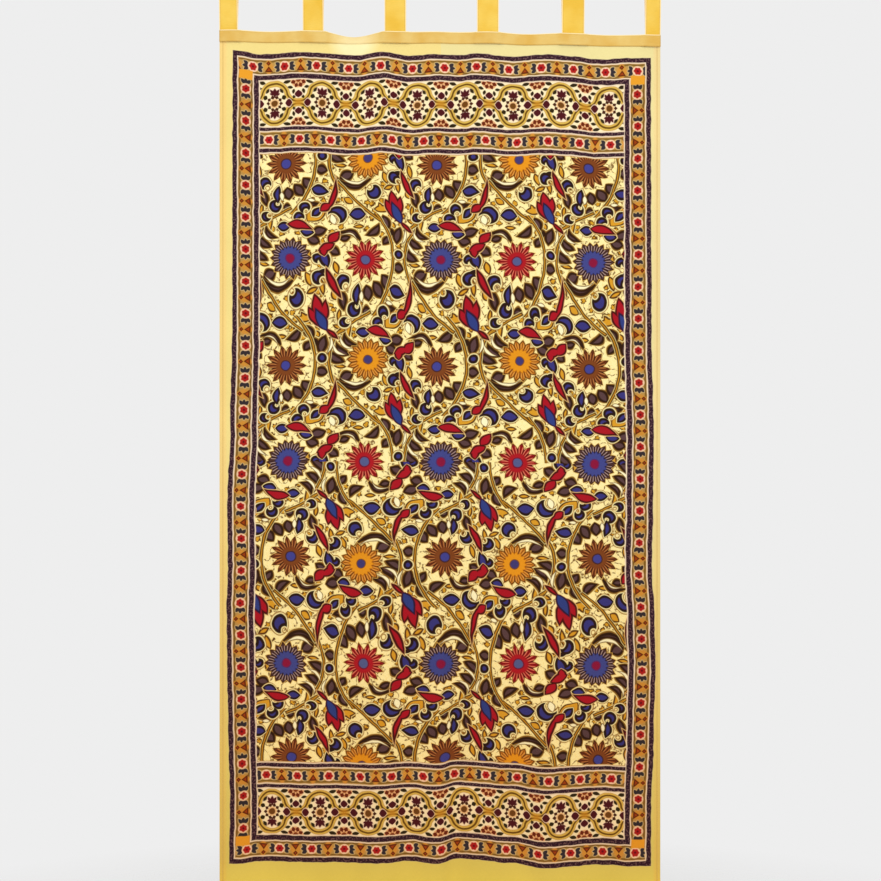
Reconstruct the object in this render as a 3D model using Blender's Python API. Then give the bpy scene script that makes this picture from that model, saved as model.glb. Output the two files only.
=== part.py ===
"""A printed cotton hanging with six fabric tabs, modelled as it hangs from a rod that is not part of it.

Metres, +Z up. The origin is on the line where the tabs bear on the rod, at the middle of the cloth's width. X runs
across the cloth, and its printed face looks along -Y.
"""

import math
from collections import namedtuple

import bmesh
import bpy
from mathutils import Vector

# Cloth, as it hangs
HUNG_WIDTH = 1.106
SHEET = 0.0012
SEAM_GAP = 0.00035
LAYER = SHEET + SEAM_GAP
HEM_LEFT = -2.239
HEM_RIGHT = -2.249

# Heading, the strip stitched over the tabs' ends
HEADING_HEIGHT = 0.030
HEADING_STEP_CLEARANCE = 0.003
HEADING_STEP_RUN = 0.010
HEADING_ROWS = 3

# Tabs, folded strips that loop over a rod
ROD_RADIUS = 0.014
TAB_TUCK = 0.024
TAB_ARC_STEPS = 10
TAB_LEG_STEPS = 6
TAB_COLUMNS = 3

# Short step over which the cloth's slope is taken
SLOPE_STEP = 0.0005

# Points this close are one where a loop's outline closes
MERGE = 0.00001

# Panel mesh: columns are shared with the heading, and rows below it grow longer towards the hem
STATION_PITCH = 0.026
ROWS_BELOW_HEADING = 22
ROW_CROWDING = 1.4

# How the top edge gives way between two tabs
LEAN_REACH = 0.060
SLACK_REACH = 0.35

# Share of a flute's depth that is already there at the heading, and the drop over which the rest grows
FLUTE_AT_HEADING = 0.35
FLUTE_GROWTH = 0.90

# Each tab: its middle across the cloth, its width, and the height of the heading's edge there
Tab = namedtuple("Tab", "x width edge_z")
TABS = (
    Tab(x=-0.5298, width=0.0464, edge_z=-0.1000),
    Tab(x=-0.3178, width=0.0520, edge_z=-0.1025),
    Tab(x=-0.1120, width=0.0540, edge_z=-0.1038),
    Tab(x=0.1200, width=0.0545, edge_z=-0.1050),
    Tab(x=0.3336, width=0.0570, edge_z=-0.1088),
    Tab(x=0.5335, width=0.0390, edge_z=-0.1125),
)

# Each bay between two tabs: how far the edge's middle drops and leans back, and the slack that hangs below it
Bay = namedtuple("Bay", "drop lean slack")
BAYS = (
    Bay(drop=0.001, lean=0.003, slack=0.001),
    Bay(drop=0.010, lean=0.022, slack=0.005),
    Bay(drop=0.000, lean=0.002, slack=0.000),
    Bay(drop=0.001, lean=0.004, slack=0.002),
    Bay(drop=0.001, lean=0.003, slack=0.001),
)

# Each flute's ridge or valley: its place across the cloth at the heading, its depth towards the viewer at the hem, and
# how far it wanders sideways on the way down
Flute = namedtuple("Flute", "x depth drift")
FLUTES = (
    Flute(x=-0.553, depth=0.001, drift=0.000),
    Flute(x=-0.510, depth=0.007, drift=0.004),
    Flute(x=-0.440, depth=-0.006, drift=0.012),
    Flute(x=-0.352, depth=0.008, drift=0.020),
    Flute(x=-0.240, depth=-0.007, drift=0.008),
    Flute(x=-0.150, depth=0.010, drift=-0.010),
    Flute(x=-0.078, depth=-0.006, drift=-0.006),
    Flute(x=-0.010, depth=0.009, drift=0.004),
    Flute(x=0.046, depth=-0.008, drift=-0.012),
    Flute(x=0.125, depth=0.006, drift=-0.016),
    Flute(x=0.190, depth=-0.006, drift=0.010),
    Flute(x=0.274, depth=0.012, drift=0.014),
    Flute(x=0.388, depth=-0.008, drift=0.018),
    Flute(x=0.470, depth=0.007, drift=0.010),
    Flute(x=0.553, depth=-0.002, drift=0.000),
)

# Finish of each kind of piece: colour, roughness, metallic
Finish = namedtuple("Finish", "color roughness metallic")
PRINTED_COTTON = Finish(color=(0.72, 0.53, 0.24), roughness=0.86, metallic=0.0)
HEADING_COTTON = Finish(color=(0.86, 0.58, 0.14), roughness=0.84, metallic=0.0)
TAB_COTTON = Finish(color=(0.93, 0.62, 0.08), roughness=0.82, metallic=0.0)


def eased(share):
    """0 to 1 with a level start and end."""
    share = min(max(share, 0.0), 1.0)
    return 0.5 - 0.5 * math.cos(math.pi * share)


def between(low, high, share):
    return low + (high - low) * share


def edge_height(x):
    """Height of the heading's edge if it ran straight from tab to tab."""
    if x <= TABS[0].x:
        return TABS[0].edge_z
    for left, right in zip(TABS, TABS[1:]):
        if x <= right.x:
            return between(left.edge_z, right.edge_z, (x - left.x) / (right.x - left.x))
    return TABS[-1].edge_z


def bay_at(x):
    """The drop, lean and slack of the edge at x: none at a tab, all of it in the middle of a bay."""
    for bay, left, right in zip(BAYS, TABS, TABS[1:]):
        start = left.x + left.width / 2
        end = right.x - right.width / 2
        if start < x < end:
            swell = math.sin(math.pi * (x - start) / (end - start)) ** 2
            return Bay(*(swell * value for value in bay))
    return Bay(0.0, 0.0, 0.0)


def flute_depth(x, down):
    """How far the cloth stands towards the viewer at x, where down is 0 at the heading and 1 at the hem."""
    places = [flute.x + flute.drift * down for flute in FLUTES]
    for flute, following, start, end in zip(FLUTES, FLUTES[1:], places, places[1:]):
        if x <= end:
            return between(flute.depth, following.depth, eased((x - start) / (end - start)))
    return FLUTES[-1].depth


def cloth_point(x, drop):
    """The middle of the panel's sheet at x, a length of cloth called drop below its upper edge."""
    top = edge_height(x)
    hem = between(HEM_LEFT, HEM_RIGHT, x / HUNG_WIDTH + 0.5)
    bay = bay_at(x)
    curl = max(0.0, 1.0 - drop / LEAN_REACH) ** 2
    sag = max(0.0, 1.0 - drop / SLACK_REACH) ** 2
    z = top - drop - bay.drop * curl - bay.slack * sag
    down = drop / (top - hem)
    growth = between(FLUTE_AT_HEADING, 1.0, eased(drop / FLUTE_GROWTH))
    y = bay.lean * curl - growth * flute_depth(x, down)
    return Vector((x, y, z))


def in_front(x, drop, distance):
    """A point at this distance before the panel's middle, square to its surface."""
    across = cloth_point(x + SLOPE_STEP, drop) - cloth_point(x - SLOPE_STEP, drop)
    down = cloth_point(x, drop + SLOPE_STEP) - cloth_point(x, drop - SLOPE_STEP)
    return cloth_point(x, drop) + across.cross(down).normalized() * -distance


def sheet_object(name, finish, across, along, place, closed=False):
    """A sheet of across by along quads, put in place by a function of column and row, and thickened both ways."""
    mesh = bpy.data.meshes.new(name)
    bm = bmesh.new()
    bmesh.ops.create_grid(bm, x_segments=across, y_segments=along, size=0.5)
    for vert in bm.verts:
        column = round((vert.co.x + 0.5) * across)
        row = round((0.5 - vert.co.y) * along)
        vert.co = place(column, row)
    if closed:
        bmesh.ops.remove_doubles(bm, verts=bm.verts, dist=MERGE)
    bmesh.ops.recalc_face_normals(bm, faces=bm.faces)
    bm.to_mesh(mesh)
    bm.free()
    mesh.shade_smooth()
    sheet = bpy.data.objects.new(name, mesh)
    bpy.context.scene.collection.objects.link(sheet)
    thickness = sheet.modifiers.new("thickness", "SOLIDIFY")
    thickness.thickness = SHEET
    thickness.offset = 0.0
    thickness.use_even_offset = True
    thickness.use_rim = True
    sheet.data.materials.append(cloth_material(name, finish))
    return sheet


def cloth_material(name, finish):
    material = bpy.data.materials.new(name)
    material.use_nodes = True
    shader = material.node_tree.nodes["Principled BSDF"]
    shader.inputs["Base Color"].default_value = (*finish.color, 1.0)
    shader.inputs["Roughness"].default_value = finish.roughness
    shader.inputs["Metallic"].default_value = finish.metallic
    return material


def stations():
    """Places across the cloth that carry its mesh: the heading's steps beside each tab, and even ones between them."""
    corners = {-HUNG_WIDTH / 2, HUNG_WIDTH / 2}
    for tab in TABS:
        flat = tab.width / 2 + HEADING_STEP_CLEARANCE
        corners |= {tab.x - flat, tab.x + flat}
        corners |= {tab.x - flat - HEADING_STEP_RUN, tab.x + flat + HEADING_STEP_RUN}
    corners = sorted(x for x in corners if abs(x) <= HUNG_WIDTH / 2)
    places = [corners[0]]
    for start, end in zip(corners, corners[1:]):
        pieces = math.ceil((end - start) / STATION_PITCH)
        places += [between(start, end, (piece + 1) / pieces) for piece in range(pieces)]
    return places


def make_panel():
    """The printed cloth with its hems, from the edge under the heading to the lower hem."""
    columns = stations()

    def place(column, row):
        x = columns[column]
        if row <= HEADING_ROWS:
            return cloth_point(x, HEADING_HEIGHT * row / HEADING_ROWS)
        hem = between(HEM_LEFT, HEM_RIGHT, x / HUNG_WIDTH + 0.5)
        share = ((row - HEADING_ROWS) / ROWS_BELOW_HEADING) ** ROW_CROWDING
        return cloth_point(x, between(HEADING_HEIGHT, edge_height(x) - hem, share))

    rows = HEADING_ROWS + ROWS_BELOW_HEADING
    return sheet_object("printed_panel", PRINTED_COTTON, len(columns) - 1, rows, place)


def heading_offset(x):
    """How far the heading stands before the panel: one layer, and two more where it covers a tab's two ends."""
    nearest = min(abs(x - tab.x) - tab.width / 2 for tab in TABS)
    step = 1.0 - (nearest - HEADING_STEP_CLEARANCE) / HEADING_STEP_RUN
    return LAYER * (1.0 + 2.0 * min(max(step, 0.0), 1.0))


def make_heading():
    """The plain strip along the top of the printed face, which closes the seam over the tabs' ends."""
    columns = stations()

    def place(column, row):
        x = columns[column]
        return in_front(x, HEADING_HEIGHT * row / HEADING_ROWS, heading_offset(x))

    return sheet_object("heading_band", HEADING_COTTON, len(columns) - 1, HEADING_ROWS, place)


def tangent_angle(foot, rod, radius, side):
    """Where a straight leg from foot meets the round of this radius about the rod."""
    reach = foot - rod
    return math.atan2(reach.y, reach.x) + side * math.acos(radius / reach.length)


def tab_section(edge_z):
    """One tab's closed outline in Y and Z, from its front end up, over the rod and down to its back end."""
    radius = ROD_RADIUS + SHEET / 2
    rod = Vector((0.0, -ROD_RADIUS))
    front = Vector((-2.0 * LAYER, edge_z))
    back = Vector((-LAYER, edge_z))
    start = tangent_angle(front, rod, radius, -1.0) + 2.0 * math.pi
    end = tangent_angle(back, rod, radius, 1.0)
    angles = [between(start, end, step / TAB_ARC_STEPS) for step in range(TAB_ARC_STEPS + 1)]
    over_rod = [rod + radius * Vector((math.cos(angle), math.sin(angle))) for angle in angles]
    outline = [Vector((front.x, edge_z - TAB_TUCK))]
    outline += [front.lerp(over_rod[0], step / TAB_LEG_STEPS) for step in range(TAB_LEG_STEPS)]
    outline += over_rod
    outline += [over_rod[-1].lerp(back, (step + 1) / TAB_LEG_STEPS) for step in range(TAB_LEG_STEPS)]
    outline.append(Vector((back.x, edge_z - TAB_TUCK)))
    outline.append(outline[0])
    return outline


def make_tab(number, tab):
    """One strip folded over the rod, its two ends together under the heading."""
    outline = tab_section(tab.edge_z)

    def place(column, row):
        x = tab.x + tab.width * (column / TAB_COLUMNS - 0.5)
        y, z = outline[row]
        if z <= tab.edge_z:
            return in_front(x, edge_height(x) - z, -y)
        rod_bottom = -2.0 * ROD_RADIUS
        follow = eased((rod_bottom - z) / (rod_bottom - tab.edge_z))
        return Vector((x, y + follow * cloth_point(x, 0.0).y, z))

    return sheet_object(f"tab_{number}", TAB_COTTON, TAB_COLUMNS, len(outline) - 1, place, closed=True)


for leftover in list(bpy.data.objects):
    bpy.data.objects.remove(leftover, do_unlink=True)

make_panel()
make_heading()
for number, tab in enumerate(TABS, start=1):
    make_tab(number, tab)
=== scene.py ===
import math
from collections import namedtuple
from functools import cache
from itertools import chain, product

import bmesh
import bpy
from mathutils import Matrix, Vector, noise


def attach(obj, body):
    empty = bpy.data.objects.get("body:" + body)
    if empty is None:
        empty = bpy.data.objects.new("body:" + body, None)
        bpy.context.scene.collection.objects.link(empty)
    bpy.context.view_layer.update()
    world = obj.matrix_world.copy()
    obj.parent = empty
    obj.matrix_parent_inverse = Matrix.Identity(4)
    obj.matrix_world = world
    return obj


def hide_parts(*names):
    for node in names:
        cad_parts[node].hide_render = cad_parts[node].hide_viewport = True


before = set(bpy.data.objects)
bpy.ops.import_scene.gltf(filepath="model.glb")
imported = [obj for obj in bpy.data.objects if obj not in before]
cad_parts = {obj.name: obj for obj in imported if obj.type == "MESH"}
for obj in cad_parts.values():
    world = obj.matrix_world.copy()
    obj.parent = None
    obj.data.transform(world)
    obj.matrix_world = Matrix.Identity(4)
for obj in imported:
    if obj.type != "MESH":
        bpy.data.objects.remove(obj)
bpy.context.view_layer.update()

# Printed panel: one length of cotton sheeting, block printed with a flowering vine inside ruled borders. Its sides and
# foot are turned under twice and stitched. It hangs in soft upright folds, slack in the second bay from the left.
HUNG_WIDTH = 1.106
HEM_HEIGHTS = (-2.239, -2.249)
COTTON = 0.0009
LEAN_REACH = 0.046
SLACK_REACH = 0.35
FLUTE_AT_HEADING = 0.35
FLUTE_GROWTH = 0.90
SMALL_STEP = 0.0005
MILLIMETRES = 1000.0
BAY_SHAPE = 1.3

Tab = namedtuple("Tab", "x width edge_z")
TABS = (
    Tab(-0.5298, 0.0464, -0.1000),
    Tab(-0.3178, 0.0520, -0.1025),
    Tab(-0.1120, 0.0540, -0.1038),
    Tab(0.1200, 0.0545, -0.1050),
    Tab(0.3336, 0.0570, -0.1088),
    Tab(0.5335, 0.0390, -0.1125),
)

Bay = namedtuple("Bay", "drop lean slack")
BAYS = (
    Bay(0.001, 0.003, 0.001),
    Bay(0.0115, 0.021, 0.0005),
    Bay(0.0, 0.002, 0.0),
    Bay(0.001, 0.004, 0.002),
    Bay(0.001, 0.003, 0.001),
)

Flute = namedtuple("Flute", "x depth drift")
FLUTES = (
    Flute(-0.553, 0.001, 0.0),
    Flute(-0.510, 0.007, 0.004),
    Flute(-0.440, -0.006, 0.012),
    Flute(-0.352, 0.008, 0.020),
    Flute(-0.240, -0.007, 0.008),
    Flute(-0.150, 0.010, -0.010),
    Flute(-0.078, -0.006, -0.006),
    Flute(-0.010, 0.009, 0.004),
    Flute(0.046, -0.008, -0.012),
    Flute(0.125, 0.006, -0.016),
    Flute(0.190, -0.006, 0.010),
    Flute(0.274, 0.012, 0.014),
    Flute(0.388, -0.008, 0.018),
    Flute(0.470, 0.007, 0.010),
    Flute(0.553, -0.002, 0.0),
)

# Small unevenness of cotton that was folded away: how high it stands and how long its swells are each way
Swell = namedtuple("Swell", "depth across down seed")
SWELLS = (
    Swell(0.0016, 0.130, 0.260, 3.1),
    Swell(0.0007, 0.050, 0.090, 7.7),
)
SWELL_START = 0.12

# Turned hem: its width, how round its edge is and what share of its thickness that keeps, how far back its layers
# reach, and how far it curls away from the viewer
HEM_WIDTH = 0.0105
HEM_ROUND = 0.0016
HEM_KEPT = 0.2
HEM_BACK = 2.5 * COTTON
HEM_CURL = 0.0020
HEM_CURL_REACH = 0.0070
HEM_PUCKER = Swell(0.0005, 0.012, 0.012, 1.7)
HEM_STEPS = (0.0, 0.0006, 0.0016, 0.0040, 0.0070, 0.0095, 0.0105)
UPPER_ROWS = (0.0, 0.007, 0.014, 0.03)
COLUMN_PITCH = 0.0085
ROW_PITCH = 0.0043


def eased(share):
    """0 to 1 with a level start and end."""
    share = min(max(share, 0.0), 1.0)
    return 0.5 - 0.5 * math.cos(math.pi * share)


def between(low, high, share):
    return low + (high - low) * share


@cache
def edge_height(x):
    """Height of the heading's edge if it ran straight from tab to tab."""
    for left, right in zip(TABS, TABS[1:]):
        if x <= right.x:
            break
    return between(left.edge_z, right.edge_z, min(max((x - left.x) / (right.x - left.x), 0.0), 1.0))


@cache
def panel_length(x):
    return edge_height(x) - between(*HEM_HEIGHTS, x / HUNG_WIDTH + 0.5)


@cache
def bay_at(x):
    """The drop, lean and slack of the edge at x: none at a tab, and all of a bay's in its middle."""
    for bay, left, right in zip(BAYS, TABS, TABS[1:]):
        start = left.x + left.width / 2
        end = right.x - right.width / 2
        if start < x < end:
            swell = math.sin(math.pi * (x - start) / (end - start)) ** BAY_SHAPE
            return Bay(*(swell * value for value in bay))
    return Bay(0.0, 0.0, 0.0)


def flute_depth(x, down):
    """How far the cloth stands towards the viewer at x, where down is 0 at the heading and 1 at the hem."""
    start = FLUTES[0].x
    for flute, following in zip(FLUTES, FLUTES[1:]):
        end = following.x + following.drift * down
        if x <= end:
            return between(flute.depth, following.depth, eased((x - start) / (end - start)))
        start = end
    return FLUTES[-1].depth


def cloth_point(x, drop):
    """The middle of the cloth at x, a length of cloth called drop below its upper edge."""
    bay = bay_at(x)
    curl = max(0.0, 1.0 - drop / LEAN_REACH) ** 2
    sag = max(0.0, 1.0 - drop / SLACK_REACH) ** 2
    z = edge_height(x) - drop - bay.drop * curl - bay.slack * sag
    growth = between(FLUTE_AT_HEADING, 1.0, eased(drop / FLUTE_GROWTH))
    y = bay.lean * curl - growth * flute_depth(x, drop / panel_length(x))
    return Vector((x, y, z))


def raised(swell, x, down):
    """How far a swell lifts the cotton at this place."""
    return swell.depth * noise.noise(Vector((x / swell.across, down / swell.down, swell.seed)))


@cache
def hung_surface(x, drop):
    """The middle of the cloth with its small swells, and the way its printed face looks there."""
    across = cloth_point(x + SMALL_STEP, drop) - cloth_point(x - SMALL_STEP, drop)
    down = cloth_point(x, drop + SMALL_STEP) - cloth_point(x, drop - SMALL_STEP)
    facing = down.cross(across).normalized()
    lift = sum(raised(swell, x, drop) for swell in SWELLS)
    return cloth_point(x, drop) + facing * lift * eased(drop / SWELL_START), facing


def in_front(x, drop, distance):
    """A point this far before the cloth's middle, square to it."""
    middle, facing = hung_surface(x, drop)
    return middle + facing * distance


def rounded(edge, radius, kept):
    """The share of its thickness that a sheet has this far in from its round edge."""
    return max(math.sqrt(max(0.0, 1.0 - (1.0 - min(edge / radius, 1.0)) ** 2)), kept)


def panel_point(x, share, side):
    """A point of the panel's printed face, where side is 1, or of its back, where side is -1."""
    drop = share * panel_length(x)
    edge = max(0.0, min(HUNG_WIDTH / 2 - abs(x), panel_length(x) - drop))
    near_edge = max(0.0, 1.0 - edge / (2 * HEM_WIDTH))
    pucker = near_edge * raised(HEM_PUCKER, x, drop)
    curl = HEM_CURL * max(0.0, 1.0 - edge / HEM_CURL_REACH) ** 2
    turned = edge < HEM_WIDTH - SMALL_STEP
    back = -HEM_BACK if turned else -COTTON / 2
    middle = -COTTON / 2 if turned else 0.0
    depth = between(middle, COTTON / 2 if side > 0 else back, rounded(edge, HEM_ROUND, HEM_KEPT))
    return in_front(x, drop, depth + pucker - curl)


def filled_in(stops, pitch):
    """The stops with even steps between them, none longer than the pitch."""
    places = [stops[0]]
    for start, end in zip(stops, stops[1:]):
        steps = max(1, math.ceil((end - start) / pitch - 0.01))
        places += [between(start, end, (step + 1) / steps) for step in range(steps)]
    return places


def linked(name, data):
    """A new object of this data, in the scene."""
    made = bpy.data.objects.new(name, data)
    bpy.context.scene.collection.objects.link(made)
    return made


def finished(name, bm, material):
    """The bmesh as a smooth object of this material, with its faces outwards."""
    bmesh.ops.recalc_face_normals(bm, faces=bm.faces)
    mesh = bpy.data.meshes.new(name)
    bm.to_mesh(mesh)
    bm.free()
    mesh.shade_smooth()
    mesh.materials.append(material)
    return linked(name, mesh)


def sewn_sheet(name, columns, rows, place, maps, material):
    """A thin closed sheet: a grid made solid, whose points place() lays at each column, row and side.

    maps names its UV maps, each a function of column, row, side and whether the face is on the rim.
    """
    across, down = len(columns) - 1, len(rows) - 1
    bm = bmesh.new()
    bmesh.ops.create_grid(bm, x_segments=across, y_segments=down, size=0.5)
    bmesh.ops.solidify(bm, geom=bm.faces[:], thickness=0.1)
    heights = [vert.co.z for vert in bm.verts]
    middle = (min(heights) + max(heights)) / 2
    wrong_side = bm.verts.layers.float.new("wrong_side")
    spots = {}
    for vert in bm.verts:
        column = columns[round((vert.co.x + 0.5) * across)]
        row = rows[round((0.5 - vert.co.y) * down)]
        side = 1 if vert.co.z > middle else -1
        spots[vert] = (column, row, side)
        vert[wrong_side] = 0.0 if side > 0 else 1.0
    for vert, spot in spots.items():
        vert.co = place(*spot)
    for map_name, lay in maps.items():
        layer = bm.loops.layers.uv.new(map_name)
        for face in bm.faces:
            rim = len({spots[vert][2] for vert in face.verts}) > 1
            for loop in face.loops:
                loop[layer].uv = lay(*spots[loop.vert], rim)
    return finished(name, bm, material)


# How the print lies on the cloth, in the chart's squares. Its top and foot lines wave a little, and its sides bow out.
CHART_SQUARE = 0.002508
PRINT_MIDDLE = 0.0019
PRINT_TOP = (0.0528, 0.0590)
PRINT_FOOT = (2.0890, 2.0840)
PRINT_HALF_WIDTH = 208.7
PRINT_HEIGHT = 808.0
WAVE_REACH = 0.35

Wave = namedtuple("Wave", "x top foot")
WAVES = (
    Wave(-0.520, -1.0, 0.5),
    Wave(-0.450, 2.0, -1.5),
    Wave(-0.330, -0.5, -1.8),
    Wave(-0.210, 2.0, -0.4),
    Wave(-0.140, -1.5, -0.8),
    Wave(-0.075, 1.8, -2.2),
    Wave(-0.010, 0.3, -0.4),
    Wave(0.050, 0.5, -4.8),
    Wave(0.090, -1.2, -4.4),
    Wave(0.170, 1.0, -0.8),
    Wave(0.260, -1.5, 3.4),
    Wave(0.330, -0.5, 1.2),
    Wave(0.390, 1.6, 0.0),
    Wave(0.520, -0.5, 0.0),
)

Bow = namedtuple("Bow", "share left right")
BOWS = (
    Bow(0.00, -0.5, 1.5),
    Bow(0.35, -0.2, 2.2),
    Bow(0.47, 1.8, 4.5),
    Bow(0.56, 4.7, 3.8),
    Bow(0.63, 4.1, 2.6),
    Bow(0.69, 5.4, 5.1),
    Bow(0.75, 4.8, 6.2),
    Bow(0.84, 3.6, 4.4),
    Bow(0.93, 1.9, 1.8),
    Bow(1.00, 2.9, 1.5),
)


def from_table(rows, place):
    """A table's row at this place, eased from row to row. Its first column is each row's place."""
    for row, following in zip(rows, rows[1:]):
        if place <= following[0]:
            break
    share = eased((place - row[0]) / (following[0] - row[0]))
    return row._make(between(low, high, share) for low, high in zip(row, following))


@cache
def print_squares(x, drop_share):
    """Where a point of the panel lies on the print, in squares right of its middle and down from its top line."""
    across = x / HUNG_WIDTH + 0.5
    top = between(*PRINT_TOP, across)
    foot = between(*PRINT_FOOT, across)
    share = (drop_share * panel_length(x) - top) / (foot - top)
    wave = from_table(WAVES, x)
    lift = eased(1.0 - share / WAVE_REACH) * wave.top + eased(1.0 - (1.0 - share) / WAVE_REACH) * wave.foot
    bow = from_table(BOWS, share)
    bowed = PRINT_HALF_WIDTH + (bow.left if x < PRINT_MIDDLE else bow.right)
    return (x - PRINT_MIDDLE) / CHART_SQUARE * PRINT_HALF_WIDTH / bowed, PRINT_HEIGHT * share - lift


def print_map(x, share, side, rim):
    return print_squares(x, share)


# The baked map keeps the printed face large and the back small, with the edge's own strip round each
FACE_SHARE = 0.70
MAP_GAP = 0.006


def bake_map(x, share, side, rim):
    """The panel's place on the baked picture of it."""
    across = x / HUNG_WIDTH + 0.5
    up = 1.0 - share
    if rim:
        outward = MAP_GAP * 0.5 if side < 0 else 0.0
        across = between(-outward, 1.0 + outward, across)
        up = between(-outward, 1.0 + outward, up)
    left, right = (0.0, FACE_SHARE) if side > 0 or rim else (FACE_SHARE, 1.0)
    return between(left + MAP_GAP, right - MAP_GAP, across), between(MAP_GAP, 1.0 - MAP_GAP, up)


class Strand:
    """One socket of a material's nodes. Arithmetic on strands adds Math nodes, so that a pattern reads as sums."""

    def __init__(self, socket):
        self.socket = socket

    def node(self, kind, settings, sockets, output=0):
        """Adds a node of this kind, its settings made first, and returns one of its outputs."""
        tree = self.socket.id_data
        made = tree.nodes.new(kind)
        for name, value in settings.items():
            setattr(made, name, value)
        for name, value in sockets.items():
            if isinstance(value, Strand):
                tree.links.new(value.socket, made.inputs[name])
            else:
                made.inputs[name].default_value = value
        return Strand(made.outputs[output])

    def feeds(self, shader, name):
        self.socket.id_data.links.new(self.socket, shader.inputs[name])

    def bumps(self, shader, strength, distance):
        """Raises the shader's surface by this strand."""
        sockets = {"Strength": strength, "Distance": distance, "Height": self}
        self.node("ShaderNodeBump", {}, sockets).feeds(shader, "Normal")

    def maths(self, operation, *others, clamped=False):
        sockets = dict(enumerate((self, *others)))
        return self.node("ShaderNodeMath", {"operation": operation, "use_clamp": clamped}, sockets)

    def __add__(self, other):
        return self.maths("ADD", other)

    __radd__ = __add__

    def __sub__(self, other):
        return self.maths("SUBTRACT", other)

    def __rsub__(self, other):
        return self.maths("MULTIPLY_ADD", -1.0, other)

    def __mul__(self, other):
        return self.maths("MULTIPLY", other)

    __rmul__ = __mul__

    def __mod__(self, other):
        return self.maths("FLOORED_MODULO", other)

    def __abs__(self):
        return self.maths("ABSOLUTE")

    def __gt__(self, other):
        return self.maths("GREATER_THAN", other)

    def __lt__(self, other):
        return self.maths("LESS_THAN", other)

    def least(self, other):
        return self.maths("MINIMUM", other)

    def most(self, other):
        return self.maths("MAXIMUM", other)

    def cosine(self):
        return self.maths("COSINE")

    def times_plus(self, factor, added):
        return self.maths("MULTIPLY_ADD", factor, added)

    def vector_maths(self, operation, other, output=0):
        return self.node("ShaderNodeVectorMath", {"operation": operation}, {0: self, 1: other}, output)

    def dot(self, direction):
        return self.vector_maths("DOT_PRODUCT", direction, "Value")

    def distance_to(self, point):
        return self.vector_maths("DISTANCE", point, "Value")

    def plus_vector(self, other):
        return self.vector_maths("ADD", other)

    def scaled(self, factors):
        return self.vector_maths("MULTIPLY", factors)

    def object_place(self):
        return self.node("ShaderNodeTexCoord", {}, {}, "Object")

    def cloudy(self, scale, detail=1.0, dimensions="2D"):
        """Soft noise about 0.5, about this many swells to a unit."""
        settings = {"noise_dimensions": dimensions}
        return self.node("ShaderNodeTexNoise", settings, {"Vector": self, "Scale": scale, "Detail": detail})

    def scattered(self, scale):
        """The distance to the nearest of scattered points, about this many to a unit."""
        settings = {"voronoi_dimensions": "2D"}
        return self.node("ShaderNodeTexVoronoi", settings, {"Vector": self, "Scale": scale}, "Distance")

    def joined(self, down):
        """A vector of this strand, another and 1, which a dot product turns and shifts."""
        return self.node("ShaderNodeCombineXYZ", {}, {"X": self, "Y": down, "Z": 1.0})

    def ramp(self, start, end):
        """0 up to the start, 1 from the end on, and even between them."""
        return self.maths("MULTIPLY_ADD", 1.0 / (end - start), start / (start - end), clamped=True)

    def inside(self, edge, softness=0.8):
        """1 where this distance is less than the edge, and 0 outside, over a soft step."""
        return self.ramp(edge + softness / 2, edge - softness / 2)

    def blend(self, below, above):
        """The colour below where this is 0, and above where it is 1."""
        return self.node("ShaderNodeMix", {"data_type": "RGBA"}, {0: self, 6: below, 7: above}, 2)

    def choose(self, low, high):
        """The value low where this is 0, and high where it is 1."""
        return self.node("ShaderNodeMix", {"data_type": "FLOAT"}, {0: self, 2: low, 3: high})

    def tinted(self, tint):
        """This colour times another."""
        settings = {"data_type": "RGBA", "blend_type": "MULTIPLY"}
        return self.node("ShaderNodeMix", settings, {0: 1.0, 6: self, 7: tint}, 2)


def dye(red, green, blue):
    """A dye from its 8-bit screen colour."""
    parts = (value / 255.0 for value in (red, green, blue))
    linear = (part / 12.92 if part <= 0.04045 else ((part + 0.055) / 1.055) ** 2.4 for part in parts)
    return (*linear, 1.0)


COTTON_GLOSS = 0.06
COTTON_SHEEN_ROUGHNESS = 0.6


def new_cotton(name, roughness, sheen):
    """A material of one Principled shader, and that shader."""
    material = bpy.data.materials.new(name)
    material.use_nodes = True
    shader = material.node_tree.nodes["Principled BSDF"]
    finish = {"Roughness": roughness, "Specular IOR Level": COTTON_GLOSS, "Sheen Weight": sheen}
    for socket, value in {**finish, "Sheen Roughness": COTTON_SHEEN_ROUGHNESS}.items():
        shader.inputs[socket].default_value = value
    return material, shader


# The vine's chart, by the print's squares, from the middle of a many-petalled flower: x to the right and y down. Each
# leaf has its middle, its turn clockwise in degrees, half its length and width, how far it bends, and its taper. A curl
# is a round bud with a round eye bitten out of it.
Leaf = namedtuple("Leaf", "x y turn long wide bend taper", defaults=(0.0, 0.0))
Curl = namedtuple("Curl", "x y radius eye_right eye_down eye")


def rows_of(kind, *rows):
    return tuple(kind(*row) for row in rows)


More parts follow.
